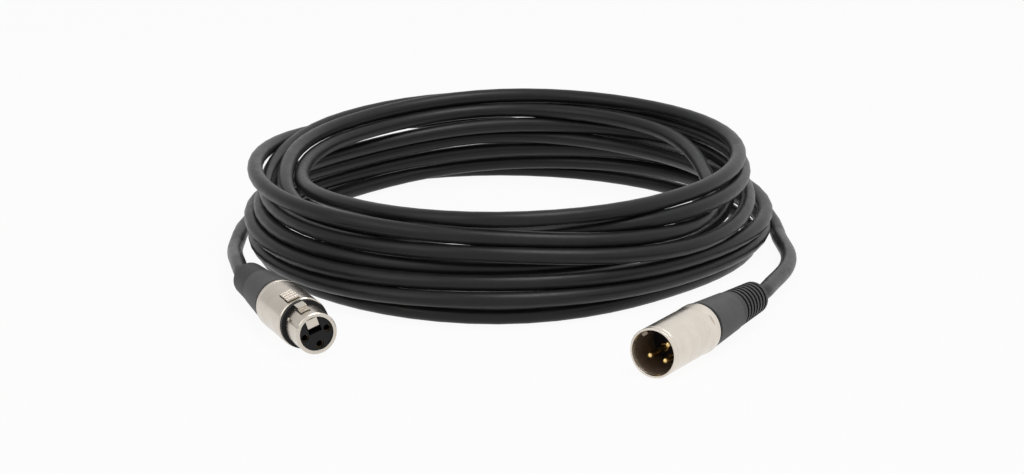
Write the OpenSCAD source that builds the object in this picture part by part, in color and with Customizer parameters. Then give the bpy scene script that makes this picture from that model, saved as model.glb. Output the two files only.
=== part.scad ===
// Coiled microphone cable with a three-pole female and a three-pole male cable connector.
// Millimetres, +Z up. The coil and both connectors lie on the plane z = 0.

/* [Cable] */
// Outer diameter of the jacketed cable
cable_d = 6.4; // [5.8:0.1:6.6]
// Clear space that the coil's turns are spread by
turn_gap = 0.65; // [0.6:0.05:0.9]
// Radius of the coil's first turn where it starts, at the left
coil_r = 109.5; // [100:0.5:125]
// Diameter of each insulated core
core_d = 1.5; // [1.2:0.1:1.8]
// Diameter of the bare drain wire
drain_d = 0.8; // [0.6:0.1:1]

/* [Contacts] */
// Diameter of a contact pin
pin_d = 2.4; // [2:0.1:2.6]
// Radius of the circle that the contacts stand on
pin_circle_r = 4.6; // [4.4:0.1:4.8]
// Wall of a socket contact round its bore
socket_wall = 0.2; // [0.15:0.05:0.25]
// Length of a socket contact's bore
socket_depth = 13; // [11:0.5:14]
// Length of a solder cup behind the contact carrier
cup_l = 5; // [3:0.5:5]

/* [Female connector] */
// Diameter of the nose that enters the mating shell
nose_d = 16; // [15.6:0.1:16.4]
// Length of the nose, from its rim to the shoulder of the body
nose_l = 14.3; // [13.8:0.1:15]
// Wall of the nose round the contact carrier
nose_wall = 1.4; // [1:0.1:1.5]
// Diameter of the female body
female_d = 19.6; // [19.4:0.1:21]
// Length of the female body behind the nose
female_body_l = 26.3; // [26:0.1:30]
// Length of the black ring in front of the body
band_l = 1.9; // [1:0.1:2.5]
// How far the black ring's rim lies inside the body's
band_inset = 0.4; // [0.1:0.1:0.6]
// How far the carrier's face lies behind the rim of the nose
face_recess = 0.6; // [0.3:0.1:1]

/* [Latch] */
// Width of the latch lever and its push button
lever_w = 4.6; // [4:0.1:4.8]
// Thickness of the lever's arm
lever_t = 1.7; // [1.2:0.1:1.8]
// Height of the tab at the lever's front end
tab_h = 3.3; // [3:0.1:3.4]
// Width of the hook block
hook_w = 3.6; // [3:0.1:4]
// How far the hook block rises above the nose
hook_rise = 1.8; // [1.2:0.1:1.9]
// How far the push button rises above the body
button_rise = 0.7; // [0.4:0.1:1.2]
// Length of the push button
button_l = 9; // [7:0.5:9.5]
// Ridges across the push button
button_ridges = 4; // [2:1:5]
// Distance of the latch pin behind the rim of the nose
pivot_s = 30; // [29.5:0.5:31]
// Diameter of the latch pin
pivot_d = 1.6; // [1.2:0.1:2]

/* [Male connector] */
// Diameter of the male shell
male_d = 19; // [18.8:0.1:20]
// Length of the male shell
male_l = 35; // [34:0.5:40]
// Diameter of the male shell's rear flange
male_flange_d = 19.4; // [19.2:0.1:20.4]
// Length of the male shell's stepped rear flange
male_flange_l = 5; // [4:0.5:6]
// Diameter of the male shell's mouth bore
mouth_d = 16.5; // [16.4:0.1:16.8]
// Depth of the mouth, down to the contact carrier
mouth_depth = 16; // [15:0.5:17]
// How far the contact pins' tips lie behind the rim
pin_recess = 4; // [3:0.5:5]
// Width of the key ridge inside the mouth
key_w = 2.4; // [2:0.1:3]
// Height of the key ridge inside the mouth
key_h = 1.2; // [0.8:0.1:1.4]

/* [Boots] */
// Diameter of both boots where they leave the shells
boot_d = 18.8; // [18:0.1:19.2]
// Length of the female bushing, from the shell to the seam
female_bushing_l = 21.4; // [21:0.2:24]
// Diameter of the female bushing at the seam
female_seam_d = 15.5; // [15:0.1:16.5]
// Length of the female sleeve
female_sleeve_l = 16.4; // [14:0.2:18]
// Diameter of the female sleeve at the rear
female_tail_d = 13.5; // [12.5:0.1:14.5]
// Length of the male bushing, from the shell to the seam
male_bushing_l = 23; // [21:0.2:24]
// Diameter of the male bushing at the seam
male_seam_d = 15.8; // [15:0.1:16.5]
// Length of the male sleeve
male_sleeve_l = 24; // [22:0.5:26]
// Diameter of the male sleeve at the rear
male_tail_d = 12.8; // [12:0.1:13.5]
// How far each sleeve is stepped in at the seam
seam_step = 0.25; // [0.1:0.05:0.5]
// Ring grooves round the male sleeve
groove_n = 7; // [4:1:7]
// Spacing of the ring grooves
groove_pitch = 2.7; // [2.6:0.1:3]
// Width of the ring grooves
groove_w = 1.3; // [0.6:0.1:1.4]
// Depth of the ring grooves
groove_depth = 0.6; // [0.3:0.1:0.8]
// Diameter of the threaded spigot that enters each shell
spigot_d = 17.1; // [16.9:0.1:17.3]
// Length of the threaded spigot
spigot_l = 6; // [5.5:0.5:6.5]
// Length of the clamp collet
chuck_l = 18; // [17:0.5:18.5]

/* [Fits] */
// Gap between fixed pieces that fit each other, on the radius
fit = 0.02; // [0.01:0.01:0.05]
// Gap between pieces that turn or slide in each other, on the radius
running = 0.05; // [0.03:0.01:0.08]
// Gap round moving or soft pieces
clear = 0.3; // [0.25:0.05:0.35]

/* [Hidden] */
$fn = 96;

jacket_color = [0.09, 0.09, 0.09];
boot_color = [0.25, 0.25, 0.25];
nickel_color = [0.83, 0.80, 0.74];
gold_color = [0.85, 0.68, 0.30];
carrier_color = [0.12, 0.12, 0.13];
white_core_color = [0.85, 0.85, 0.83];
red_core_color = [0.65, 0.12, 0.10];
copper_color = [0.78, 0.50, 0.33];
steel_color = [0.62, 0.62, 0.63];

// ---- Coil: eight and a half turns, wound clockwise from the left as seen from above ----

// Turns in the coil and rings in each turn
turns = 8.5;
rings = 24;
cable_r = cable_d / 2;
pitch = cable_d + turn_gap;
// The bottom turn rests on the plane with a flat a tenth of the cable's diameter deep.
rest_z = cable_r - cable_d / 10;
// Where the cable's centre lies against the start of the coil, [outward, up], one row for each
// turn: at the left, left back, back, right back, right, right front, front and left front.
// The first place is high enough that the round lead there clears the plane, the upper turns
// cross over each other, and the last one runs down the outside to the end at the right.
// The rows are drawn for turns 6.5 apart and spread with the pitch.
drawn_pitch = 6.5;
places = 8;
course = [
    [[0, 0.7], [2.5, 0], [6, 0], [2.5, 0], [-3, 0], [-8.5, 0], [1.5, 0], [-6, 0]],
    [[-11, 0.3], [-10.5, 0.4], [-1.5, 4.8], [-1, 8], [1.5, 6.4], [-4.5, 5.4], [6, 7.8], [-1, 5.3]],
    [[-8, 6.5], [-7.5, 6.6], [-6.5, 12.3], [-0.5, 14.5], [2.3, 13.2], [-3.5, 12.2], [2.8, 13.5], [-1.2, 11.9]],
    [[-6.5, 14.1], [-10, 13.6], [-9, 19.4], [-12.5, 19], [-14, 19.4], [-12.5, 16.3], [-4.5, 17.1], [-4.5, 17.3]],
    [[-10.7, 19.2], [-13.5, 19.7], [-14.5, 25.6], [-6.5, 25.1], [-6, 22], [-0.5, 18.8], [0.5, 24.3], [-6.7, 23.4]],
    [[-12.5, 25.8], [-8, 33.3], [-2, 35.2], [-4.7, 31.4], [-7.7, 31.5], [-5.8, 31], [-12.5, 28.3], [-12.5, 26.6]],
    [[-20.7, 31], [-14.5, 33.6], [-8.5, 37.8], [-7.5, 38], [-9.5, 37.8], [-9.2, 36.7], [-4.5, 36.7], [-21, 32]],
    [[-26.7, 27.8], [-18, 28.1], [-11.5, 31.9], [-17, 31.9], [-23, 27.8], [-5.5, 24.3], [-2, 30.1], [-4.7, 32.1]],
    [[-7.5, 32.3], [-1, 28.2], [3.5, 22.2], [6, 13.8], [8, 1.8]]];
outs = [for (row = course) for (p = row) p[0]];
ups = [for (row = course) for (p = row) p[1]];

// Smooth curve through evenly spaced values
function smooth(v, u) =
    let (n = len(v), i = max(0, min(n - 2, floor(u))), f = u - i)
    let (a = v[max(i - 1, 0)], b = v[i], c = v[i + 1], d = v[min(i + 2, n - 1)])
    b + f / 2 * ((c - a) + f * ((2 * a - 5 * b + 4 * c - d) + f * (3 * (b - c) + d - a)));

// The cable's centre after t turns
function coil_at(t) =
    let (u = places * t, spread = pitch / drawn_pitch)
    let (r = coil_r + spread * smooth(outs, u))
    [-r * cos(360 * t), r * sin(360 * t), rest_z + max(0, spread * smooth(ups, u))];

coil_points = [for (k = [0 : turns * rings]) coil_at(k / rings)];
coil_first = coil_points[0];
coil_last = coil_points[len(coil_points) - 1];
// Both ends run straight for one diameter, toward the viewer.
run_out = [0, -cable_d, 0];
coil_route = concat([coil_first + run_out], coil_points, [coil_last + run_out]);
coil_gap = min([for (i = [0 : len(coil_points) - 1]) for (j = [i + rings / 2 : 1 : len(coil_points) - 1])
    norm(coil_points[i] - coil_points[j])]) - cable_d;
echo(str("least gap of the coil to itself: ", coil_gap, " mm"));
coil_length = path_length(coil_route);
echo(str("length of cable in the coil: ", coil_length, " mm"));

function path_length(p, i = 0, sum = 0) =
    i >= len(p) - 1 ? sum : path_length(p, i + 1, sum + norm(p[i + 1] - p[i]));
function unit(v) = v / norm(v);

// Tube of the given radius along a route, as triangles. head and tail are the directions at its
// ends, and above is any direction that the route never takes.
function ring_of(c, dir, r, sides, above) =
    let (side = unit(cross(dir, above)), up = cross(side, dir))
    [for (k = [0 : sides - 1])
        let (a = 360 * k / sides, q = c + r * (cos(a) * side + sin(a) * up))
        [q[0], q[1], max(0, q[2])]];
module tube(route, r, sides, head, tail, above = [0, 0, 1]) {
    n = len(route);
    dirs = [for (i = [0 : n - 1]) i == 0 ? unit(head) : i == n - 1 ? unit(tail) :
        unit(unit(route[i + 1] - route[i]) + unit(route[i] - route[i - 1]))];
    points = [for (i = [0 : n - 1]) each ring_of(route[i], dirs[i], r, sides, above)];
    walls = [for (i = [0 : n - 2]) for (k = [0 : sides - 1])
        let (a = i * sides + k, b = i * sides + (k + 1) % sides)
        each [[a, b, b + sides], [a, b + sides, a + sides]]];
    first_cap = [for (k = [1 : sides - 2]) [0, k + 1, k]];
    last = (n - 1) * sides;
    last_cap = [for (k = [1 : sides - 2]) [last, last + k, last + k + 1]];
    polyhedron(points = points, faces = concat(walls, first_cap, last_cap), convexity = 10);
}

module cable_coil() {
    color(jacket_color)
        translate(place)
            tube(coil_route, cable_r, 6, -run_out, run_out);
}

// ---- Connector placing ----
// A connector is drawn along Z from its front (0) to its rear, with X toward its key, then laid
// down with its front at the given point, its rear toward the azimuth, and rolled about its axis.

// Point at the given bearing from the coil's middle, this far outside the start of its first turn
function beside(bearing, out, z) =
    [(coil_r + out) * cos(bearing), (coil_r + out) * sin(bearing), z];

// The female rests on its body and the male on its flange.
female_front = beside(-113.49, 57.87, female_d / 2);
female_azimuth = 113.8;
female_roll = -19;
male_front = beside(-72.3, 75.67, male_flange_d / 2);
rim_chamfer = 0.25;
male_azimuth = 58.6;
male_roll = -36;

module lay(front, azimuth, roll) {
    translate(place + front)
        rotate([0, 0, azimuth])
            rotate(180, [1, 0, 1])
                rotate([0, 0, roll])
                    children();
}
module as_female() {
    lay(female_front, female_azimuth, female_roll) children();
}
module as_male() {
    lay(male_front, male_azimuth, male_roll) children();
}
function axis_point(front, azimuth, s) = front + s * [cos(azimuth), sin(azimuth), 0];

// Block from [x, s] to [x, s] in a connector's own directions, w wide across
module block(x0, x1, s0, s1, w) {
    translate([x0, -w / 2, s0])
        cube([x1 - x0, w, s1 - s0]);
}

// ---- Free stretches between the coil and the boots ----

female_end_s = nose_l + female_body_l + female_bushing_l + female_sleeve_l;
male_end_s = male_l + male_bushing_l + male_sleeve_l;
// The leads run straight for this far out of the boots.
straight = 8;
female_route = concat([coil_first + run_out],
    [beside(-171.7, 1.2, 4), beside(-165.1, 3, 5.2), beside(-158.1, 5.8, 7), beside(-151.5, 9.8, 9)],
    [axis_point(female_front, female_azimuth, female_end_s + straight),
     axis_point(female_front, female_azimuth, female_end_s)]);
male_route = concat([coil_last + run_out],
    [beside(-9.6, 10.2, 5.7), beside(-16.1, 13.8, 6.4), beside(-22, 17.3, 7), beside(-28, 20.9, 7.6),
     beside(-33.5, 24.3, 8.3), beside(-38.5, 28.1, 9)],
    [axis_point(male_front, male_azimuth, male_end_s + straight),
     axis_point(male_front, male_azimuth, male_end_s)]);

// The whole object is shifted so that its footprint is centred on the origin. The male shell's
// rim reaches farthest toward the viewer.
all_x = [for (p = concat(coil_route, female_route, male_route)) p[0]];
back_y = max([for (p = coil_points) p[1]]) + cable_r;
front_y = male_front[1] - (male_d / 2 - rim_chamfer) * cos(male_azimuth);
place = [-(min(all_x) + max(all_x)) / 2, -(back_y + front_y) / 2, 0];
echo(place = place);

module female_lead() {
    color(jacket_color)
        translate(place)
            tube(female_route, cable_r, 8, run_out, -[cos(female_azimuth), sin(female_azimuth), 0]);
}
module male_lead() {
    color(jacket_color)
        translate(place)
            tube(male_route, cable_r, 8, run_out, -[cos(male_azimuth), sin(male_azimuth), 0]);
}

// ---- Shared pieces behind the shells ----

spigot_r = spigot_d / 2;
shell_bore_r = spigot_r + running;
boot_r = boot_d / 2;
// Inner cone of a bushing, and the collet that it squeezes
cavity_r = spigot_r - 1.55;
neck_r = 4.5;
collar_r = neck_r + 0.9;
collar_l = 2;
neck_l = 4.7;
cone_l = 8;
// The collet starts a little behind the spigot's front and is slotted over this length.
chuck_lead = spigot_l - 1.4;
chuck_slot_l = 10;
chuck_r = cavity_r - clear;
chuck_tip_r = collar_r - clear;
cone_start = chuck_l - chuck_lead - cone_l;
// The jacket starts this far behind the rear of a shell.
jacket_start = 4;

// Bushing drawn from the rear of its shell (0) back to the seam
module bushing(length, seam_d) {
    color(boot_color)
        rotate_extrude()
            polygon([
                [cavity_r, -spigot_l], [spigot_r - 0.3, -spigot_l], [spigot_r, -spigot_l + 0.3],
                [spigot_r, clear], [boot_r - 0.5, clear], [boot_r, clear + 0.5],
                [seam_d / 2, length - 0.2], [seam_d / 2 - 0.2, length],
                [neck_r, length], [neck_r, length - neck_l],
                [collar_r, length - neck_l], [collar_r, cone_start + cone_l],
                [cavity_r, cone_start]]);
}

// Sleeve drawn from the rear of its shell, seated in the bushing's neck by its collar
module sleeve(start, length, seam_d, tail_d, grooves, pitch_s) {
    sleeve_seam_r = seam_d / 2 - seam_step;
    tail_r = tail_d / 2;
    end = start + length;
    bore = cable_r + clear;
    front = start - neck_l - running - collar_l;
    round_l = 2;
    slope = (tail_r - sleeve_seam_r) / (length - round_l);
    first = start + 4;
    color(boot_color)
        difference() {
            rotate_extrude()
                polygon(concat(
                    [[bore, front], [collar_r - clear, front], [collar_r - clear, front + collar_l],
                     [neck_r - running, front + collar_l], [neck_r - running, start + running],
                     [sleeve_seam_r, start + running], [tail_r, end - round_l]],
                    [for (a = [15 : 15 : 90])
                        [tail_r - round_l * (1 - cos(a)), end - round_l * (1 - sin(a))]],
                    [[bore, end]]));
            for (k = [0 : 1 : grooves - 1]) {
                s = first + k * pitch_s;
                r = sleeve_seam_r + slope * (s - start);
                translate([0, 0, s - groove_w / 2])
                    difference() {
                        cylinder(r = r + 1, h = groove_w);
                        translate([0, 0, -1])
                            cylinder(r = r - groove_depth, h = 3);
                    }
            }
        }
}

// Slotted collet round the jacket
module chuck() {
    back = chuck_l - chuck_lead;
    bore = cable_r + fit;
    color(carrier_color)
        difference() {
            rotate_extrude()
                polygon([
                    [chuck_r - 0.8, -chuck_lead], [chuck_r, -chuck_lead], [chuck_r, cone_start],
                    [chuck_tip_r, back], [bore, back], [bore, jacket_start]]);
            for (a = [45, 135])
                rotate([0, 0, a])
                    translate([-chuck_r - 1, -0.5, back - chuck_slot_l])
                        cube([2 * chuck_r + 2, 1, chuck_slot_l + 1]);
        }
}

module jacket_end(end) {
    color(jacket_color)
        translate([0, 0, jacket_start])
            cylinder(r = cable_r, h = end - jacket_start - fit);
}

// Wire from inside a solder cup to the end of the jacket
module wire(angle, r, cup_s, spread, jacket_s) {
    from = [pin_circle_r * cos(angle), pin_circle_r * sin(angle), cup_s - 2.5];
    knee = from + [0, 0, 3.5];
    to = [spread * cos(angle), spread * sin(angle), jacket_s - 2];
    up = [0, 0, 1];
    tube([from, knee, to, to + 2 * up], r, 8, up, up, [cos(angle + 90), sin(angle + 90), 0]);
}

// ---- Female connector ----

nose_r = nose_d / 2;
female_r = female_d / 2;
female_rear = nose_l + female_body_l;
carrier_r = nose_r - nose_wall - fit;
carrier_bore_r = nose_r - nose_wall;
// The carrier's flange seats on the step inside the body.
flange_s = nose_l + 0.7;
flange_l = 3;
carrier_rear = flange_s + flange_l + 3;
socket_r = pin_d / 2 + running + socket_wall;
socket_front = face_recess + 1;

// Lever: its arm runs under the nose's wall, from the tab to the boss on the pin.
lever_top = carrier_bore_r * 0.9;
lever_bottom = lever_top - lever_t;
pivot_x = lever_bottom + lever_t / 2;
boss_r = lever_t / 2 + 0.75;
tab_front = face_recess + 0.1;
tab_l = 3;
hook_top = nose_r + hook_rise;
hook_s0 = nose_l - 7.8;
hook_s1 = nose_l - band_l - 5 * clear;
bar_s0 = hook_s0 - 1.9;
bar_rise = 0.7;
button_s0 = nose_l + 2.2;
button_s1 = button_s0 + button_l;
button_top = female_r + button_rise;
// Full press: the hook's front edge sinks level with the nose.
press = 4.2;
slot_floor = lever_top - tab_h - (pivot_s - tab_front) * sin(press) - clear;
slot_w = lever_w + 2 * clear;
window_w = hook_w + 2 * clear;

module shell_pin_holes(length) {
    translate([pivot_x, 0, pivot_s])
        rotate([90, 0, 0])
            cylinder(r = pivot_d / 2 + fit, h = length, center = true, $fn = 48);
}

module female_shell() {
    groove_s = female_rear - 2.2;
    color(nickel_color)
        as_female() difference() {
            rotate_extrude()
                polygon([
                    [carrier_bore_r, 0], [nose_r - 0.3, 0], [nose_r, 0.3],
                    [nose_r, nose_l], [female_r - 0.4, nose_l], [female_r, nose_l + 0.4],
                    [female_r, groove_s], [female_r - 0.2, groove_s + 0.1],
                    [female_r - 0.2, groove_s + 0.4], [female_r, groove_s + 0.5],
                    [female_r, female_rear - 0.3], [female_r - 0.3, female_rear],
                    [shell_bore_r, female_rear], [shell_bore_r, flange_s],
                    [carrier_bore_r, flange_s]]);
            // Window for the hook, and its way through the body's front wall
            block(0, nose_r + 1, bar_s0 - 2 * clear, hook_s1 + clear, window_w);
            block(0, lever_top + clear, hook_s1, flange_s + 1, slot_w);
            // Window for the push button, in a flat at the front of the body
            block(0, female_r + 1, button_s0 - 2 * clear, button_s1 + clear, slot_w);
            block(female_r - 0.6, female_r + 1, nose_l - 1, button_s0 + 3, female_d);
            // Shallow slot along the side of the nose
            rotate([0, 0, -46])
                block(nose_r - nose_wall / 3, nose_r + 1, -1, nose_l - band_l - 1, 1.3);
            shell_pin_holes(2 * pin_half + 2 * fit);
        }
}
// The latch pin ends inside the wall of the body.
pin_half = sqrt(female_r * female_r - pow(pivot_x + pivot_d / 2, 2)) - 0.4;

module female_band() {
    color(carrier_color)
        as_female() difference() {
            translate([0, 0, nose_l - band_l])
                cylinder(r = female_r - band_inset, h = band_l);
            translate([0, 0, nose_l - band_l - 1])
                cylinder(r = nose_r + fit, h = band_l + 2);
        }
}

module contact_places() {
    for (a = [90, 180, 270])
        rotate([0, 0, a])
            translate([pin_circle_r, 0, 0])
                children();
}

module female_insert() {
    color(carrier_color)
        as_female() difference() {
            union() {
                translate([0, 0, face_recess])
                    cylinder(r = carrier_r, h = carrier_rear - face_recess);
                translate([0, 0, flange_s])
                    cylinder(r = shell_bore_r - fit, h = flange_l);
            }
            contact_places()
                cylinder(r = socket_r + fit, h = carrier_rear + 1, $fn = 48);
            block(slot_floor, nose_r + 3, -1, carrier_rear + 1, slot_w);
        }
}

module contact_socket(angle) {
    color(gold_color)
        as_female() rotate([0, 0, angle]) translate([pin_circle_r, 0, 0])
            difference() {
                translate([0, 0, socket_front])
                    cylinder(r = socket_r, h = carrier_rear + cup_l - socket_front, $fn = 48);
                translate([0, 0, socket_front - 1])
                    cylinder(r = pin_d / 2 + running, h = socket_depth + 1, $fn = 48);
                translate([0, 0, carrier_rear + 1])
                    cylinder(r = core_d / 2 + 0.2, h = cup_l, $fn = 48);
            }
}
module female_contact_1() { contact_socket(90); }
module female_contact_2() { contact_socket(270); }
module female_contact_3() { contact_socket(180); }

module female_latch() {
    color(nickel_color)
        as_female() difference() {
            union() {
                block(lever_bottom, lever_top, tab_front, pivot_s, lever_w);
                block(lever_top - tab_h, lever_top, tab_front, tab_front + tab_l, lever_w);
                block(lever_bottom, hook_top, hook_s0, hook_s1, hook_w);
                block(lever_bottom, nose_r + bar_rise, bar_s0, hook_s1, hook_w);
                block(lever_bottom, button_top - 0.5, button_s0, button_s1, lever_w);
                for (k = [0 : 1 : button_ridges - 1])
                    translate([button_top - 0.5, 0, button_s0 + (k + 0.5) * button_l / button_ridges])
                        rotate([90, 0, 0])
                            cylinder(r = 0.5, h = lever_w, center = true, $fn = 24);
                translate([pivot_x, 0, pivot_s])
                    rotate([90, 0, 0])
                        cylinder(r = boss_r, h = lever_w, center = true, $fn = 48);
            }
            translate([pivot_x, 0, pivot_s])
                rotate([90, 0, 0])
                    cylinder(r = pivot_d / 2 + running, h = lever_w + 2, center = true, $fn = 48);
        }
}

module female_latch_pin() {
    color(steel_color)
        as_female() translate([pivot_x, 0, pivot_s])
            rotate([90, 0, 0])
                cylinder(r = pivot_d / 2, h = 2 * pin_half, center = true, $fn = 48);
}

// Wound round the pin beside the boss, one leg under the lever and one toward the body's wall
module female_latch_spring() {
    wire_r = 0.25;
    y0 = lever_w / 2 + 0.2;
    coil_w = 1.5;
    mean_r = pivot_d / 2 + 0.1 + wire_r;
    front_leg_s = carrier_rear + clear;
    rear_leg_l = female_rear - spigot_l - clear - pivot_s;
    color(steel_color)
        as_female() {
            difference() {
                translate([pivot_x, y0, pivot_s])
                    rotate([-90, 0, 0])
                        cylinder(r = mean_r + wire_r, h = coil_w, $fn = 48);
                translate([pivot_x, y0 - 1, pivot_s])
                    rotate([-90, 0, 0])
                        cylinder(r = mean_r - wire_r, h = coil_w + 2, $fn = 48);
            }
            translate([lever_bottom - 0.5, y0, front_leg_s])
                cube([0.4, 0.5, pivot_s - front_leg_s]);
            translate([lever_bottom - 0.5, y0 - 2.2, front_leg_s])
                cube([0.4, 2.7, 0.5]);
            translate([pivot_x + mean_r - 0.2, y0 + coil_w - 0.5, pivot_s])
                cube([0.4, 0.5, rear_leg_l]);
        }
}

module female_chuck() {
    as_female() translate([0, 0, female_rear]) chuck();
}
module female_bushing() {
    as_female() translate([0, 0, female_rear]) bushing(female_bushing_l, female_seam_d);
}
module female_sleeve() {
    as_female() translate([0, 0, female_rear])
        sleeve(female_bushing_l, female_sleeve_l, female_seam_d, female_tail_d, 0, 1);
}
module female_jacket_end() {
    as_female() translate([0, 0, female_rear]) jacket_end(female_bushing_l + female_sleeve_l);
}
module female_wire(angle, r, spread) {
    as_female() wire(angle, r, carrier_rear + cup_l, spread, female_rear + jacket_start);
}
module female_core_hot() {
    color(red_core_color) female_wire(90, core_d / 2, core_d * 0.8);
}
module female_core_cold() {
    color(white_core_color) female_wire(270, core_d / 2, core_d * 0.8);
}
module female_drain() {
    color(copper_color) female_wire(180, drain_d / 2, core_d);
}

// ---- Male connector ----

male_r = male_d / 2;
male_flange_r = male_flange_d / 2;
mouth_r = mouth_d / 2;
male_carrier_l = 6;
male_carrier_rear = mouth_depth + male_carrier_l;

module male_shell() {
    step_s = male_l - male_flange_l;
    step = (male_flange_r - male_r) / 3;
    rim_groove_s = 1.8;
    color(nickel_color)
        as_male() {
            difference() {
                rotate_extrude()
                    polygon([
                        [mouth_r + 0.45, 0], [male_r - rim_chamfer, 0], [male_r, rim_chamfer],
                        [male_r, rim_groove_s], [male_r - 0.15, rim_groove_s + 0.1],
                        [male_r - 0.15, rim_groove_s + 0.4], [male_r, rim_groove_s + 0.5],
                        [male_r, step_s], [male_r + step, step_s + 0.2], [male_r + step, step_s + 1.2],
                        [male_r + 2 * step, step_s + 1.4], [male_r + 2 * step, step_s + 2.4],
                        [male_flange_r, step_s + 2.6], [male_flange_r, male_l - 0.3],
                        [male_flange_r - 0.3, male_l],
                        [shell_bore_r, male_l], [shell_bore_r, mouth_depth],
                        [mouth_r, mouth_depth], [mouth_r, 1]]);
                // Pocket behind the key ridge, for the mating latch
                block(0, mouth_r + 0.7, 5.6, 8.6, hook_w + 1);
                // Shallow recess beside the flange, a quarter turn from the key
                rotate([0, 0, 90])
                    block(male_r - 0.25, male_flange_r + 1, step_s - 3.6, step_s + 1.8, 5);
            }
            intersection() {
                block(mouth_r - key_h, male_r - 0.3, 2, 5, key_w);
                cylinder(r = mouth_r + 0.2, h = male_l);
            }
        }
}

module male_insert() {
    color(carrier_color)
        as_male() difference() {
            translate([0, 0, mouth_depth])
                cylinder(r = shell_bore_r - fit, h = male_carrier_l);
            translate([0, 0, mouth_depth - 1])
                contact_places()
                    cylinder(r = shank_r + fit, h = male_carrier_l + 2, $fn = 48);
        }
}

// Behind the carrier's face each pin has a thicker shank, with the solder cup in its rear.
shank_r = pin_d / 2 + 0.35;
module contact_pin(angle) {
    pin_r = pin_d / 2;
    color(gold_color)
        as_male() rotate([0, 0, angle]) translate([pin_circle_r, 0, 0])
            difference() {
                rotate_extrude($fn = 48)
                    polygon(concat(
                        [for (a = [0 : 15 : 90]) [pin_r * sin(a), pin_recess + pin_r * (1 - cos(a))]],
                        [[pin_r, mouth_depth], [shank_r, mouth_depth],
                         [shank_r, male_carrier_rear + cup_l], [0, male_carrier_rear + cup_l]]));
                translate([0, 0, male_carrier_rear + 1])
                    cylinder(r = core_d / 2 + 0.2, h = cup_l, $fn = 48);
            }
}
module male_pin_1() { contact_pin(90); }
module male_pin_2() { contact_pin(270); }
module male_pin_3() { contact_pin(180); }

module male_chuck() {
    as_male() translate([0, 0, male_l]) chuck();
}
module male_bushing() {
    as_male() translate([0, 0, male_l]) bushing(male_bushing_l, male_seam_d);
}
module male_sleeve() {
    as_male() translate([0, 0, male_l])
        sleeve(male_bushing_l, male_sleeve_l, male_seam_d, male_tail_d, groove_n, groove_pitch);
}
module male_jacket_end() {
    as_male() translate([0, 0, male_l]) jacket_end(male_bushing_l + male_sleeve_l);
}
module male_wire(angle, r, spread) {
    as_male() wire(angle, r, male_carrier_rear + cup_l, spread, male_l + jacket_start);
}
module male_core_hot() {
    color(red_core_color) male_wire(270, core_d / 2, core_d * 0.8);
}
module male_core_cold() {
    color(white_core_color) male_wire(180, core_d / 2, core_d * 0.8);
}
module male_drain() {
    color(copper_color) male_wire(90, drain_d / 2, core_d);
}

cable_coil();
female_lead();
male_lead();
female_shell();
female_band();
female_insert();
female_contact_1();
female_contact_2();
female_contact_3();
female_latch();
female_latch_pin();
female_latch_spring();
female_chuck();
female_bushing();
female_sleeve();
female_jacket_end();
female_core_hot();
female_core_cold();
female_drain();
male_shell();
male_insert();
male_pin_1();
male_pin_2();
male_pin_3();
male_chuck();
male_bushing();
male_sleeve();
male_jacket_end();
male_core_hot();
male_core_cold();
male_drain();
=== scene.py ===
import math

import bmesh
import bpy
from mathutils import Matrix, Vector


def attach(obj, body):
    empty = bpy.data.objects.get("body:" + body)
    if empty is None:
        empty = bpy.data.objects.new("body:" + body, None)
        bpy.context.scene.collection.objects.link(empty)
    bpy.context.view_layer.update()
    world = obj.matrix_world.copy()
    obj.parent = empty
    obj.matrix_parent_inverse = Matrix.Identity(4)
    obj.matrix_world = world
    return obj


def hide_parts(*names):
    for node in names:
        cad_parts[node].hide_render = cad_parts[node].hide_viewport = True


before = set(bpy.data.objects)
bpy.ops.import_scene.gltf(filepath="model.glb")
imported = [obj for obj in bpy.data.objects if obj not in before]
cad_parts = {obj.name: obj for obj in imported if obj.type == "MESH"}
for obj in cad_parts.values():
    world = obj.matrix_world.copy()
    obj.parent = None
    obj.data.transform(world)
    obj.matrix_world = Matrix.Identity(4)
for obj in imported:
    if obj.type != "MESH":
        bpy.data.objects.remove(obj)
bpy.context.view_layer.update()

# ---- Sizes and places, in metres, as in the part's source ----
CABLE_D = 0.0064
CABLE_R = CABLE_D / 2
PLACE = Vector((-0.00446, 0.03101, 0.0))

TURNS = 8.5
COIL_R = 0.1095
# The share of a turn that one cable diameter takes
DIAMETER_TURNS = CABLE_D / (2 * math.pi * COIL_R)
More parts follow.
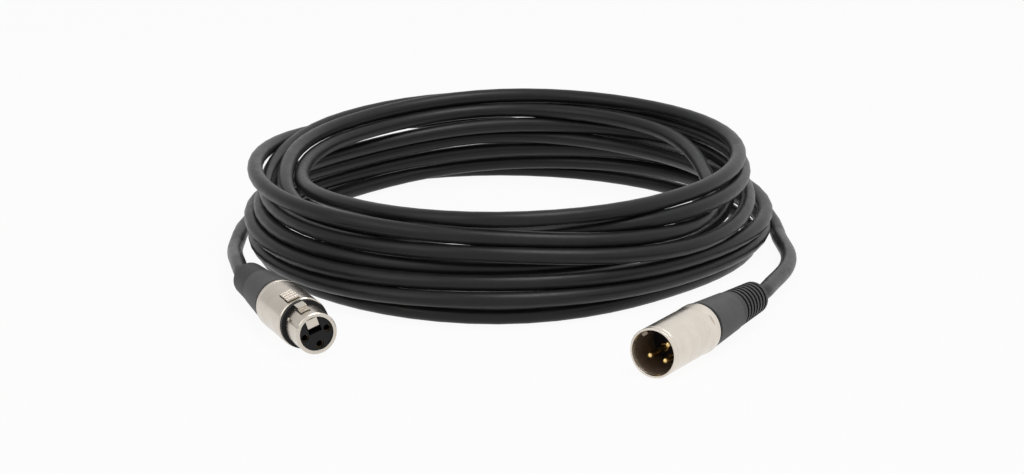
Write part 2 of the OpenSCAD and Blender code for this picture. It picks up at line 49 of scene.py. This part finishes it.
# The cable's centre against a circle of COIL_R lying on the table, [outward, up] in mm. Each turn has
# two rows: at the left, left back, back and right back, then the right, right front, front and left front.
PLACES = 8
COURSE = [
    [0, 0.7], [2.5, 0], [6, 0], [2.5, 0],
    [-3, 0], [-8.5, 0], [1.5, 0], [-6, 0],
    [-11, 0.3], [-10.5, 0.4], [-1.5, 4.8], [-1, 8],
    [1.5, 6.4], [-4.5, 5.4], [6, 7.8], [-1, 5.3],
    [-8, 6.5], [-7.5, 6.6], [-6.5, 12.3], [-0.5, 14.5],
    [2.3, 13.2], [-3.5, 12.2], [2.8, 13.5], [-1.2, 11.9],
    [-6.5, 14.1], [-10, 13.6], [-9, 19.4], [-12.5, 19],
    [-14, 19.4], [-12.5, 16.3], [-4.5, 17.1], [-4.5, 17.3],
    [-10.7, 19.2], [-13.5, 19.7], [-14.5, 25.6], [-6.5, 25.1],
    [-6, 22], [-0.5, 18.8], [0.5, 24.3], [-6.7, 23.4],
    [-12.5, 25.8], [-8, 33.3], [-2, 35.2], [-4.7, 31.4],
    [-7.7, 31.5], [-5.8, 31], [-12.5, 28.3], [-12.5, 26.6],
    [-20.7, 31], [-14.5, 33.6], [-8.5, 37.8], [-7.5, 38],
    [-9.5, 37.8], [-9.2, 36.7], [-4.5, 36.7], [-21, 32],
    [-26.7, 27.8], [-18, 28.1], [-11.5, 31.9], [-17, 31.9],
    [-23, 27.8], [-5.5, 24.3], [-2, 30.1], [-4.7, 32.1],
    [-7.5, 32.3], [-1, 28.2], [3.5, 22.2], [6, 13.8], [8, 1.8]]
OUTWARD = [place[0] for place in COURSE]
UPWARD = [place[1] for place in COURSE]

# How finely the tube that shows the cable is drawn
TUBE_SIDES = 28
RINGS_A_TURN = 60
LEAD_STEP = 0.003


def beside(bearing, out, up):
    """Point at a bearing from the coil's middle, this many mm outside COIL_R and above the table."""
    r = COIL_R + out / 1000
    angle = math.radians(bearing)
    return Vector((r * math.cos(angle), r * math.sin(angle), up / 1000))


# Each connector: the middle of its front, the way from there to its cable, its turn round its own
# axis, and how far behind the front its free cable starts
FEMALE_FRONT = beside(-113.49, 57.87, 9.8)
FEMALE_AZIMUTH = 113.8
FEMALE_ROLL = -19
FEMALE_END = 0.0784
MALE_FRONT = beside(-72.3, 75.67, 9.7)
MALE_AZIMUTH = 58.6
MALE_ROLL = -36
MALE_END = 0.082


def connector_matrix(front, azimuth, roll):
    """A connector is drawn along Z from its front, with X toward its key."""
    swap_x_and_z = Matrix.Rotation(math.pi, 4, Vector((1, 0, 1)).normalized())
    return (Matrix.Translation(PLACE + front) @ Matrix.Rotation(math.radians(azimuth), 4, "Z")
            @ swap_x_and_z @ Matrix.Rotation(math.radians(roll), 4, "Z"))


FEMALE = connector_matrix(FEMALE_FRONT, FEMALE_AZIMUTH, FEMALE_ROLL)
MALE = connector_matrix(MALE_FRONT, MALE_AZIMUTH, MALE_ROLL)

# ---- Camera ----
SENSOR_WIDTH = 36.0
IMAGE_WIDTH = 1024
FOCAL_PIXELS = 2833
CAMERA_PLACE = Vector((0.0054, -1.150, 0.3304)) + PLACE
CAMERA_TILT = 74.121


def add_object(name, data):
    added = bpy.data.objects.new(name, data)
    bpy.context.scene.collection.objects.link(added)
    return added


def add_camera():
    data = bpy.data.cameras.new("camera")
    data.sensor_fit = "HORIZONTAL"
    data.sensor_width = SENSOR_WIDTH
    data.lens = SENSOR_WIDTH * FOCAL_PIXELS / IMAGE_WIDTH
    data.clip_start = 0.01
    data.clip_end = 50
    camera = add_object("camera", data)
    camera.location = CAMERA_PLACE
    camera.rotation_euler = (math.radians(CAMERA_TILT), 0, 0)
    bpy.context.scene.camera = camera


add_camera()


# ---- The cable ----
def smooth(values, u):
    """The smooth curve (Catmull-Rom) through numbers or points, at place u counted in them."""
    last = len(values) - 1
    i = max(0, min(last - 1, math.floor(u)))
    f = u - i
    a, b, c, d = values[max(i - 1, 0)], values[i], values[i + 1], values[min(i + 2, last)]
    return b + (c - a) * (f / 2) + ((a * 2 - b * 5 + c * 4 - d) + ((b - c) * 3 + d - a) * f) * (f * f / 2)


def coil_at(turns):
    """The cable's centre after so many turns."""
    r = COIL_R + smooth(OUTWARD, PLACES * turns) / 1000
    z = CABLE_R + max(0, smooth(UPWARD, PLACES * turns)) / 1000
    angle = 2 * math.pi * turns
    return Vector((-r * math.cos(angle), r * math.sin(angle), z))


def through(points):
    """Points about LEAD_STEP apart on a smooth curve through the given ones."""
    found = []
    for i in range(len(points) - 1):
        steps = max(1, round((points[i + 1] - points[i]).length / LEAD_STEP))
        found += [smooth(points, i + k / steps) for k in range(steps)]
    return found + [points[-1]]


def nearest(points, target):
    """The number of the point that is nearest to the target."""
    return min(range(len(points)), key=lambda i: (points[i] - target).length)


def axis_point(front, azimuth, behind):
    """Point on a connector's axis, so far behind its front."""
    angle = math.radians(azimuth)
    return front + Vector((math.cos(angle), math.sin(angle), 0)) * behind


def cable_path():
    """The cable's centre from the female boot, round the coil, to the male boot."""
    first = coil_at(0)
    last = coil_at(TURNS)
    ahead = Vector((0, -CABLE_D, 0))
    female = [axis_point(FEMALE_FRONT, FEMALE_AZIMUTH, FEMALE_END + s) for s in (0, 0.004, 0.008)]
    female += [beside(-151.5, 9.8, 9), beside(-158.1, 5.8, 7), beside(-165.1, 3, 5.2), beside(-171.7, 1.2, 4)]
    female += [first + ahead, first, coil_at(DIAMETER_TURNS)]
    male = [coil_at(TURNS - DIAMETER_TURNS), last, last + ahead]
    male += [beside(-9.6, 10.2, 5.7), beside(-16.1, 13.8, 6.4), beside(-22, 17.3, 7),
             beside(-28, 20.9, 7.6), beside(-33.5, 24.3, 8.3), beside(-38.5, 28.1, 9)]
    male += [axis_point(MALE_FRONT, MALE_AZIMUTH, MALE_END + s) for s in (0.008, 0.004, 0)]
    # Each lead's curve runs on along the coil for one diameter, so that they join smoothly, and is
    # then cut where the coil starts or ends
    female_lead = through(female)
    male_lead = through(male)
    coil = [coil_at(k / RINGS_A_TURN) for k in range(int(TURNS * RINGS_A_TURN) + 1)]
    before = female_lead[:nearest(female_lead, first)]
    after = male_lead[nearest(male_lead, last) + 1:]
    return [p + PLACE for p in before + coil + after]


def tube_mesh(name, points, radius, sides):
    """Closed tube along the points, with UV in metres: round it and along it."""
    bm = bmesh.new()
    uv = bm.loops.layers.uv.new("UVMap")
    along = [0.0]
    for before, here in zip(points, points[1:]):
        along.append(along[-1] + (here - before).length)
    rings = []
    for i, p in enumerate(points):
        before, after = points[max(i - 1, 0)], points[min(i + 1, len(points) - 1)]
        forward = ((p - before).normalized() + (after - p).normalized()).normalized()
        side = forward.cross(Vector((0, 0, 1))).normalized()
        up = side.cross(forward).normalized()
        rings.append([bm.verts.new(p + (side * math.cos(a) + up * math.sin(a)) * radius)
                      for a in (2 * math.pi * k / sides for k in range(sides))])
    side_width = 2 * math.pi * radius / sides
    for i in range(len(rings) - 1):
        for k in range(sides):
            j = (k + 1) % sides
            face = bm.faces.new((rings[i][k], rings[i][j], rings[i + 1][j], rings[i + 1][k]))
            face.smooth = True
            for loop, (u, v) in zip(face.loops, ((k, i), (k + 1, i), (k + 1, i + 1), (k, i + 1))):
                loop[uv].uv = (u * side_width, along[v])
    bm.faces.new(rings[0])
    bm.faces.new(list(reversed(rings[-1])))
    bmesh.ops.recalc_face_normals(bm, faces=bm.faces[:])
    mesh = bpy.data.meshes.new(name)
    bm.to_mesh(mesh)
    bm.free()
    return mesh


path = cable_path()
cable = add_object("cable", tube_mesh("cable", path, CABLE_R, TUBE_SIDES))
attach(cable, "cable")
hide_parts("cable_coil", "female_lead", "male_lead")


# ---- Shader nodes ----
def feed(tree, value, socket):
    """Link another node's output to the socket, or set it to a number, a vector or a colour."""
    if isinstance(value, bpy.types.NodeSocket):
        tree.links.new(value, socket)
    elif socket.type == "RGBA":
        socket.default_value = (*value, 1)
    else:
        socket.default_value = value


def node(tree, kind, inputs=None, **settings):
    added = tree.nodes.new("ShaderNode" + kind)
    for key, value in settings.items():
        setattr(added, key, value)
    for key, value in (inputs or {}).items():
        feed(tree, value, added.inputs[key])
    return added


def color_ramp(tree, value, *stops):
    """Colour between two stops, each a position and a colour."""
    ramp = node(tree, "ValToRGB", {0: value})
    for element, (position, color) in zip(ramp.color_ramp.elements, stops):
        element.position = position
        element.color = (*color, 1)
    return ramp.outputs[0]


def remap(tree, value, source, result):
    """The value, moved from one range to another and kept inside it."""
    return node(tree, "MapRange", {"Value": value, "From Min": source[0], "From Max": source[1],
                                   "To Min": result[0], "To Max": result[1]}).outputs[0]


def bump(tree, height, strength, distance, under=None):
    """A bumped normal, on top of the normal that is given as under."""
    inputs = {"Strength": strength, "Distance": distance, "Height": height}
    if under is not None:
        inputs["Normal"] = under
    return node(tree, "Bump", inputs).outputs[0]


def noise(tree, place, scale, detail=3, rough=0.6):
    inputs = {"Vector": place, "Scale": scale, "Detail": detail, "Roughness": rough}
    return node(tree, "TexNoise", inputs).outputs[0]


def noise_along(tree, distance, scale, detail, rough):
    """Noise that changes in one direction only."""
    inputs = {"W": distance, "Scale": scale, "Detail": detail, "Roughness": rough}
    return node(tree, "TexNoise", inputs, noise_dimensions="1D").outputs[0]


def dot(tree, a, b):
    return node(tree, "VectorMath", {0: a, 1: b}, operation="DOT_PRODUCT").outputs["Value"]


def math_node(tree, operation, *values):
    return node(tree, "Math", dict(enumerate(values)), operation=operation).outputs[0]


def mix_color(tree, factor, a, b):
    """Colour a where the factor is 0 and b where it is 1, on the node's sockets for colours."""
    return node(tree, "Mix", {0: factor, 6: a, 7: b}, data_type="RGBA").outputs[2]


def object_place(tree):
    return node(tree, "TexCoord").outputs["Object"]


def from_front(tree, place, matrix):
    """Vector from the middle of a connector's front, and the distance behind that front."""
    axis = (matrix.to_3x3() @ Vector((0, 0, 1))).normalized()
    inputs = {0: place, 1: matrix.to_translation()}
    vector = node(tree, "VectorMath", inputs, operation="SUBTRACT").outputs["Vector"]
    return vector, dot(tree, vector, axis)


def off_axis(tree, vector, behind):
    """Distance from a connector's axis."""
    square = math_node(tree, "SUBTRACT", dot(tree, vector, vector),
                       math_node(tree, "MULTIPLY", behind, behind))
    return math_node(tree, "SQRT", math_node(tree, "MAXIMUM", square, 0))


def edge_mask(tree, radius):
    """1 on sharp edges and 0 on open surfaces, and the normal with its edges rounded."""
    rounded = node(tree, "Bevel", {"Radius": radius}, samples=6).outputs[0]
    flatness = dot(tree, rounded, node(tree, "NewGeometry").outputs["Normal"])
    return remap(tree, flatness, (0.985, 0.90), (0, 1)), rounded


def scaled(color, factor, more=0):
    return tuple(min(1, c * factor + more) for c in color)


# ---- Materials ----
# Lengths in them are in metres
def new_material(name):
    mat = bpy.data.materials.new(name)
    mat.use_nodes = True
    tree = mat.node_tree
    tree.nodes.clear()
    out = node(tree, "OutputMaterial")
    shader = node(tree, "BsdfPrincipled")
    feed(tree, shader.outputs[0], out.inputs[0])
    return mat, tree, shader


def set_surface(tree, shader, color, rough, normal):
    feed(tree, color, shader.inputs["Base Color"])
    feed(tree, rough, shader.inputs["Roughness"])
    feed(tree, normal, shader.inputs["Normal"])


def jacket_material():
    """Smooth black PVC: fine grain, long streaks from the extruder, faint dust and rub marks."""
    mat, tree, shader = new_material("jacket")
    place = object_place(tree)
    fine = noise(tree, place, 5200)
    patch = noise(tree, place, 60, 4)
    rub = noise(tree, place, 420, 5, 0.7)
    uv = node(tree, "UVMap", uv_map="UVMap").outputs[0]
    stretched = node(tree, "Mapping", {"Vector": uv, "Scale": (2600, 40, 1)}).outputs[0]
    streak = noise(tree, stretched, 1, 2)
    color = color_ramp(tree, patch, (0.3, (0.010, 0.010, 0.0105)), (0.7, (0.0145, 0.0145, 0.015)))
    dust = remap(tree, rub, (0.60, 0.78), (0, 0.35))
    color = mix_color(tree, dust, color, (0.028, 0.028, 0.028))
    rough = math_node(tree, "ADD", remap(tree, patch, (0.3, 0.7), (0.33, 0.40)),
                      remap(tree, rub, (0.4, 0.75), (-0.03, 0.08)))
    normal = bump(tree, streak, 0.22, 0.00003, bump(tree, fine, 0.30, 0.00004))
    set_surface(tree, shader, color, rough, normal)
    shader.inputs["Specular IOR Level"].default_value = 0.24
    return mat


def moulded_material(name, color, rough, grain=0.25, specular=0.4, matrix=None, shade_bands=()):
    """Moulded plastic or rubber: fine grain, patches, scuffs, worn edges, and painted shade in given bands,
    such as seams and grooves.
    """
    mat, tree, shader = new_material(name)
    place = object_place(tree)
    fine = noise(tree, place, 2600, 4, 0.65)
    patch = noise(tree, place, 90)
    scuff = noise(tree, place, 700, 5, 0.7)
    edge, rounded = edge_mask(tree, 0.00018)
    worn = scaled(color, 1.7, 0.012)
    shade = color_ramp(tree, patch, (0.3, scaled(color, 0.86)), (0.7, scaled(color, 1.12)))
    shade = mix_color(tree, remap(tree, scuff, (0.58, 0.75), (0, 0.22)), shade, worn)
    wear = math_node(tree, "MULTIPLY", edge, remap(tree, scuff, (0.35, 0.6), (0.15, 0.75)))
    shade = mix_color(tree, wear, shade, worn)
    if shade_bands:
        # Painted shade in each seam or groove, given as [from, to] behind the connector's front
        behind = from_front(tree, place, matrix)[1]
        for start, end in shade_bands:
            # Painted shade: inside the band the colour is darkened to an eighth
            inside = math_node(tree, "COMPARE", behind, (start + end) / 2, (end - start) / 2)
            shade = mix_color(tree, inside, shade, scaled(color, 0.12))
    rough = remap(tree, fine, (0.3, 0.7), (rough - 0.06, rough + 0.07))
    set_surface(tree, shader, shade, rough, bump(tree, fine, grain, 0.00005, rounded))
    shader.inputs["Specular IOR Level"].default_value = specular
    return mat


def nickel_material(name, matrix, inside_r, painted_brightness):
    """Satin nickel turned on a lathe: faint rings, soft stains, brighter worn edges, and painted shade inside
    the bore.
    """
    mat, tree, shader = new_material(name)
    place = object_place(tree)
    vector, behind = from_front(tree, place, matrix)
    rings = noise_along(tree, behind, 5200, 3, 0.7)
    bands = noise_along(tree, behind, 420, 2, 0.5)
    fine = noise(tree, place, 4200)
    stain = noise(tree, place, 150, 4)
    edge, rounded = edge_mask(tree, 0.00015)
    # Painted light and shade: all three colours are scaled by the shell's painted brightness
    low, high, band = (scaled(color, painted_brightness) for color in (
        (0.60, 0.545, 0.475), (0.65, 0.595, 0.525), (0.70, 0.645, 0.575)))
    color = color_ramp(tree, stain, (0.32, low), (0.68, high))
    color = mix_color(tree, remap(tree, bands, (0.35, 0.65), (0, 0.15)), color, band)
    wear = math_node(tree, "MULTIPLY", edge, remap(tree, fine, (0.35, 0.6), (0.3, 0.9)))
    color = mix_color(tree, wear, color, (0.90, 0.86, 0.80))
    if inside_r:
        # Painted shade inside the bore: dark and dull from a little behind the front
        distance = off_axis(tree, vector, behind)
        near_wall = remap(tree, distance, (inside_r + 0.00035, inside_r - 0.00005), (0, 1))
        inside = math_node(tree, "MULTIPLY", near_wall, remap(tree, behind, (0.0008, 0.0022), (0, 1)))
        color = mix_color(tree, inside, color, (0.24, 0.175, 0.13))
        feed(tree, remap(tree, inside, (0, 1), (1, 0.35)), shader.inputs["Metallic"])
    else:
        shader.inputs["Metallic"].default_value = 1.0
    rough = math_node(tree, "ADD", remap(tree, rings, (0.3, 0.7), (0.20, 0.28)),
                      remap(tree, stain, (0.3, 0.7), (0.05, -0.03)))
    normal = bump(tree, fine, 0.08, 0.00003, bump(tree, rings, 0.20, 0.00003, rounded))
    set_surface(tree, shader, color, rough, normal)
    return mat


def metal_material(name, color, rough, grain=0.08):
    """Plain metal: fine grain, patches and lighter edges."""
    mat, tree, shader = new_material(name)
    place = object_place(tree)
    fine = noise(tree, place, 4200)
    patch = noise(tree, place, 240, 4)
    edge, rounded = edge_mask(tree, 0.0001)
    shade = color_ramp(tree, patch, (0.35, scaled(color, 0.86)), (0.65, color))
    shade = mix_color(tree, edge, shade, scaled(color, 1.12, 0.02))
    rough = remap(tree, patch, (0.3, 0.7), (rough - 0.04, rough + 0.06))
    set_surface(tree, shader, shade, rough, bump(tree, fine, grain, 0.00003, rounded))
    shader.inputs["Metallic"].default_value = 1.0
    return mat


# Painted shade in the gap between each shell and its bushing, and in the grooves round the male boot, as
# distances behind the connector's front
FEMALE_SEAM_SHADE = (0.0400, 0.0427)
MALE_SEAM_SHADE = (0.0345, 0.0370)
GROOVES = 7
GROOVE_FIRST = 0.062
GROOVE_HALF = 0.0008
GROOVE_PITCH = 0.0027
MALE_GROOVE_SHADE = [(GROOVE_FIRST - GROOVE_HALF + k * GROOVE_PITCH, GROOVE_FIRST + GROOVE_HALF + k * GROOVE_PITCH)
                for k in range(GROOVES)]
MALE_BORE_R = 0.0083

JACKET = jacket_material()
# The same nickel on both shells, painted brighter on the male and a little darker on the female, as painted
# light and shade
FEMALE_NICKEL = nickel_material("satin_nickel", FEMALE, inside_r=0, painted_brightness=0.97)
MALE_NICKEL = nickel_material("satin_nickel_male", MALE, inside_r=MALE_BORE_R, painted_brightness=1.13)
GOLD = metal_material("gold", (0.90, 0.66, 0.28), rough=0.24, grain=0.03)
# The female contacts are dark brown as painted shade of the holes they sit in
CONTACT_SHADE = metal_material("contact_painted_shade", (0.16, 0.105, 0.045), rough=0.42, grain=0.05)
STEEL = metal_material("spring_steel", (0.50, 0.50, 0.51), rough=0.3)
COPPER = metal_material("copper", (0.75, 0.43, 0.28), rough=0.35)
CARRIER = moulded_material("black_carrier", (0.008, 0.008, 0.0085), rough=0.42, grain=0.15, specular=0.22)
# The female's bushing and sleeve are drawn darker than the male's, as painted shade
FEMALE_BUSHING = moulded_material("boot_plastic", (0.076, 0.076, 0.076), rough=0.50, specular=0.15,
                                  matrix=FEMALE, shade_bands=[FEMALE_SEAM_SHADE])
MALE_BUSHING = moulded_material("boot_plastic_male", (0.086, 0.086, 0.086), rough=0.50, specular=0.15,
                                matrix=MALE, shade_bands=[MALE_SEAM_SHADE])
FEMALE_SLEEVE = moulded_material("boot_rubber", (0.027, 0.027, 0.027), rough=0.56, grain=0.3, specular=0.35)
MALE_SLEEVE = moulded_material("boot_rubber_male", (0.047, 0.047, 0.047), rough=0.56, grain=0.3,
                               specular=0.35, matrix=MALE, shade_bands=MALE_GROOVE_SHADE)
CORE_RED = moulded_material("core_red", (0.55, 0.06, 0.05), rough=0.4)
CORE_WHITE = moulded_material("core_white", (0.75, 0.75, 0.73), rough=0.4)

# The CAD nodes of each material; the nodes that aren't listed are of the black carrier's
NODES_OF = [
    (JACKET, ["cable_coil", "female_lead", "male_lead", "female_jacket_end", "male_jacket_end"]),
    (FEMALE_NICKEL, ["female_shell", "female_latch"]),
    (MALE_NICKEL, ["male_shell"]),
    (CONTACT_SHADE, ["female_contact_1", "female_contact_2", "female_contact_3"]),
    (GOLD, ["male_pin_1", "male_pin_2", "male_pin_3"]),
    (FEMALE_BUSHING, ["female_bushing"]),
    (MALE_BUSHING, ["male_bushing"]),
    (FEMALE_SLEEVE, ["female_sleeve"]),
    (MALE_SLEEVE, ["male_sleeve"]),
    (STEEL, ["female_latch_pin", "female_latch_spring"]),
    (CORE_RED, ["female_core_hot", "male_core_hot"]),
    (CORE_WHITE, ["female_core_cold", "male_core_cold"]),
    (COPPER, ["female_drain", "male_drain"])]
MATERIAL_OF = {name: mat for mat, names in NODES_OF for name in names}

cable.data.materials.append(JACKET)
for name, cad_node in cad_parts.items():
    cad_node.data.materials.clear()
    cad_node.data.materials.append(MATERIAL_OF.get(name, CARRIER))

# ---- Floor and light ----
WHITE = (1, 1, 1)
FLOOR_R = 4
FLOOR_Z = -0.0002
FLOOR_GREY = (0.7, 0.7, 0.7)
# How much of the floor's own look gives way to plain white where it is seen directly
FLOOR_WHITE = 0.94
WORLD_LIGHT = 0.32
# Each lamp is aimed at the origin: name, place, side and watts
LAMPS = [("key", (0.45, -0.45, 1.6), 0.9, 15),
         ("fill", (-1.0, -0.7, 0.8), 1.0, 4)]


def seen_directly(tree):
    """1 for rays that show the background itself: from the camera, or mirrored or passed on to it."""
    rays = node(tree, "LightPath").outputs
    direct = math_node(tree, "MAXIMUM", rays["Is Camera Ray"], rays["Is Glossy Ray"])
    return math_node(tree, "MAXIMUM", direct, rays["Is Transmission Ray"])


def mix_shader(tree, factor, a, b):
    return node(tree, "MixShader", {0: factor, 1: a.outputs[0], 2: b.outputs[0]}).outputs[0]


def add_floor():
    bm = bmesh.new()
    bmesh.ops.create_circle(bm, cap_ends=True, segments=96, radius=FLOOR_R)
    mesh = bpy.data.meshes.new("floor")
    bm.to_mesh(mesh)
    bm.free()
    floor = add_object("floor", mesh)
    floor.location.z = FLOOR_Z
    mat, tree, shader = new_material("floor")
    feed(tree, FLOOR_GREY, shader.inputs["Base Color"])
    shader.inputs["Roughness"].default_value = 0.9
    shader.inputs["Specular IOR Level"].default_value = 0.1
    glow = node(tree, "Emission", {"Color": WHITE, "Strength": 1.0})
    share = math_node(tree, "MULTIPLY", seen_directly(tree), FLOOR_WHITE)
    out = next(n for n in tree.nodes if n.type == "OUTPUT_MATERIAL")
    feed(tree, mix_shader(tree, share, shader, glow), out.inputs[0])
    mesh.materials.append(mat)


def add_world():
    world = bpy.data.worlds.new("world")
    bpy.context.scene.world = world
    world.use_nodes = True
    tree = world.node_tree
    tree.nodes.clear()
    # Mirrored, the surroundings are a little darker toward the left of the studio
    direction = node(tree, "TexCoord").outputs["Generated"]
    rightward = node(tree, "SeparateXYZ", {0: direction}).outputs[0]
    mirrored = remap(tree, rightward, (-1, 0.4), (0.62, 1))
    camera = node(tree, "LightPath").outputs["Is Camera Ray"]
    light = node(tree, "Background", {"Color": WHITE, "Strength": WORLD_LIGHT})
    strength = math_node(tree, "MAXIMUM", mirrored, camera)
    seen = node(tree, "Background", {"Color": WHITE, "Strength": strength})
    out = node(tree, "OutputWorld")
    feed(tree, mix_shader(tree, seen_directly(tree), light, seen), out.inputs[0])


def add_lamp(name, place, side, watts):
    data = bpy.data.lights.new(name, "AREA")
    data.shape = "RECTANGLE"
    data.size = side
    data.size_y = side
    data.energy = watts
    lamp = add_object(name, data)
    lamp.location = place
    lamp.rotation_euler = (-Vector(place)).to_track_quat("-Z", "Y").to_euler()


add_floor()
add_world()
for lamp in LAMPS:
    add_lamp(*lamp)

bpy.context.scene.view_settings.view_transform = "Standard"
